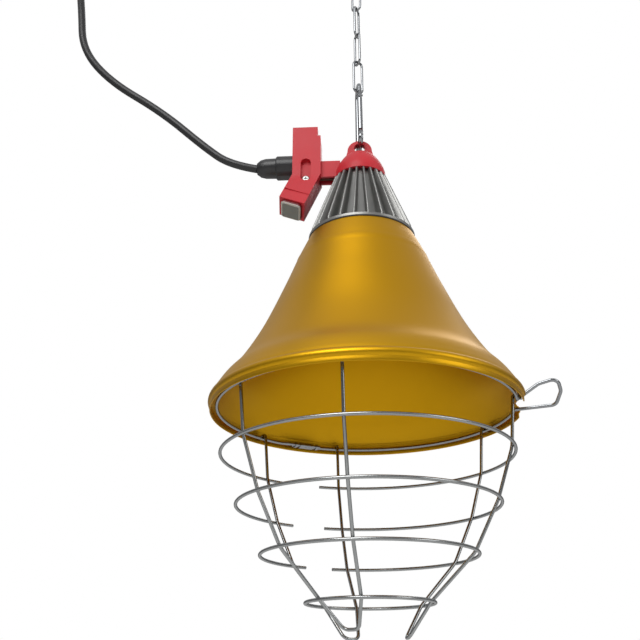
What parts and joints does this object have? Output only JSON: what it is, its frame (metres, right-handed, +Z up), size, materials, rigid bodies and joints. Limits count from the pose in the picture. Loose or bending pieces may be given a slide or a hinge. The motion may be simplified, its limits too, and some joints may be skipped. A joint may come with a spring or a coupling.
{
  "type": "heat lamp fixture",
  "caption": "Hanging heat lamp for young poultry and small livestock: spun reflector, wire guard, finned heat sink, switch box, snap hook and chain.",
  "frame": {"origin": "inside top of the upper bend of the top hook, where it rests on its support, straight above the lamp's axis", "axes": "+Z up along the lamp's axis, -X towards the switch box and the cord, -Y towards the screw of the switch box"},
  "size_m": [0.3918, 0.2244, 0.655],
  "materials": {
    "gold_anodised": "satin",
    "cast_aluminium": "as_cast",
    "red_plastic": "satin",
    "black_plastic": "satin",
    "cord_rubber": "matte",
    "gasket_rubber": "matte",
    "clear_silicone": "translucent",
    "zinc_wire": "zinc_plated",
    "zinc_chain": "zinc_plated",
    "steel_screws": "zinc_plated",
    "holder_ceramic": "glazed",
    "plated_brass": "nickel_plated",
    "white_plastic": "satin",
    "brown_wire": "satin",
    "blue_wire": "satin",
    "green_wire": "satin"
  },
  "bodies": {
    "hanger": {"top_hook": "zinc_chain", "cord_coil": "cord_rubber", "coil_tie": "black_plastic", "cord_tail": "cord_rubber", "plug_body": "black_plastic", "plug_pin_1": "plated_brass", "plug_pin_2": "plated_brass"},
    "link_1": {"chain_link_1": "zinc_chain"},
    "link_2": {"chain_link_2": "zinc_chain"},
    "link_3": {"chain_link_3": "zinc_chain"},
    "link_4": {"chain_link_4": "zinc_chain"},
    "hook": {"snap_hook": "zinc_chain", "gate_pin": "zinc_chain"},
    "gate": {"snap_gate": "zinc_chain"},
    "lamp": {"reflector": "gold_anodised", "neck_gasket": "gasket_rubber", "heat_sink": "cast_aluminium", "suspension_cap": "red_plastic", "box_cover": "red_plastic", "cover_screw": "steel_screws", "cord_gland": "black_plastic", "gland_nut": "black_plastic", "cord_entry": "cord_rubber", "supply_cord": "cord_rubber", "switch_body": "white_plastic", "switch_boot": "clear_silicone", "lampholder_body": "holder_ceramic", "lampholder_shell": "plated_brass", "centre_contact": "plated_brass", "holder_strap": "steel_screws", "terminal_block": "white_plastic", "diode": "black_plastic", "lead_live": "brown_wire", "lead_neutral": "blue_wire", "lead_earth": "green_wire", "core_live": "brown_wire", "core_neutral": "blue_wire", "core_earth": "green_wire", "neck_screw_1": "steel_screws", "neck_screw_2": "steel_screws", "neck_screw_3": "steel_screws", "cap_screw_1": "steel_screws", "cap_screw_2": "steel_screws", "strap_screw_1": "steel_screws", "strap_screw_2": "steel_screws"},
    "switch_rocker": {"rocker": "black_plastic"},
    "guard": {"guard_ring_1": "zinc_wire", "guard_ring_2": "zinc_wire", "guard_ring_3": "zinc_wire", "guard_ring_4": "zinc_wire", "guard_rib_1": "zinc_wire", "guard_rib_2": "zinc_wire", "guard_rib_3": "zinc_wire", "retaining_ring": "zinc_wire", "ring_sleeve": "zinc_wire", "ring_clip_1": "zinc_wire", "ring_clip_2": "zinc_wire"}
  },
  "joints": [
    {"name": "link_1_swing", "type": "hinge", "parent": "hanger", "child": "link_1", "pos_m": [0, 0, -0.048], "axis": [-0.5, -0.866, 0], "range_deg": [-12, 12]},
    {"name": "link_2_swing", "type": "hinge", "parent": "link_1", "child": "link_2", "pos_m": [0, 0, -0.0757], "axis": [-0.8988, 0.4384, 0], "range_deg": [-12, 12]},
    {"name": "link_3_swing", "type": "hinge", "parent": "link_2", "child": "link_3", "pos_m": [0, 0, -0.1044], "axis": [-0.866, -0.5, 0], "range_deg": [-12, 12]},
    {"name": "link_4_swing", "type": "hinge", "parent": "link_3", "child": "link_4", "pos_m": [0, 0, -0.1331], "axis": [-0.5, 0.866, 0], "range_deg": [-12, 12]},
    {"name": "hook_swing", "type": "hinge", "parent": "link_4", "child": "hook", "pos_m": [0, 0, -0.1618], "axis": [-0.9945, -0.1045, 0], "range_deg": [-20, 20]},
    {"name": "gate_turn", "type": "hinge", "parent": "hook", "child": "gate", "pos_m": [0.00092, -0.00875, -0.17145], "axis": [0.9945, 0.1045, 0], "range_deg": [0, 22], "stiffness_Nm_per_rad": 0.02, "springref_deg": -28.65},
    {"name": "lamp_swing", "type": "hinge", "parent": "hook", "child": "lamp", "pos_m": [0, 0, -0.21495], "axis": [-0.1045, 0.9945, 0], "range_deg": [-25, 25], "deforming": ["supply_cord"]},
    {"name": "rocker_turn", "type": "hinge", "parent": "lamp", "child": "switch_rocker", "pos_m": [-0.05037, -0.00754, -0.27089], "axis": [0.9397, 0, -0.342], "range_deg": [-10, 10]},
    {"name": "guard_slide", "type": "slide", "parent": "lamp", "child": "guard", "axis": [0, 0, -1], "range_m": [0, 0.15]}
  ]
}
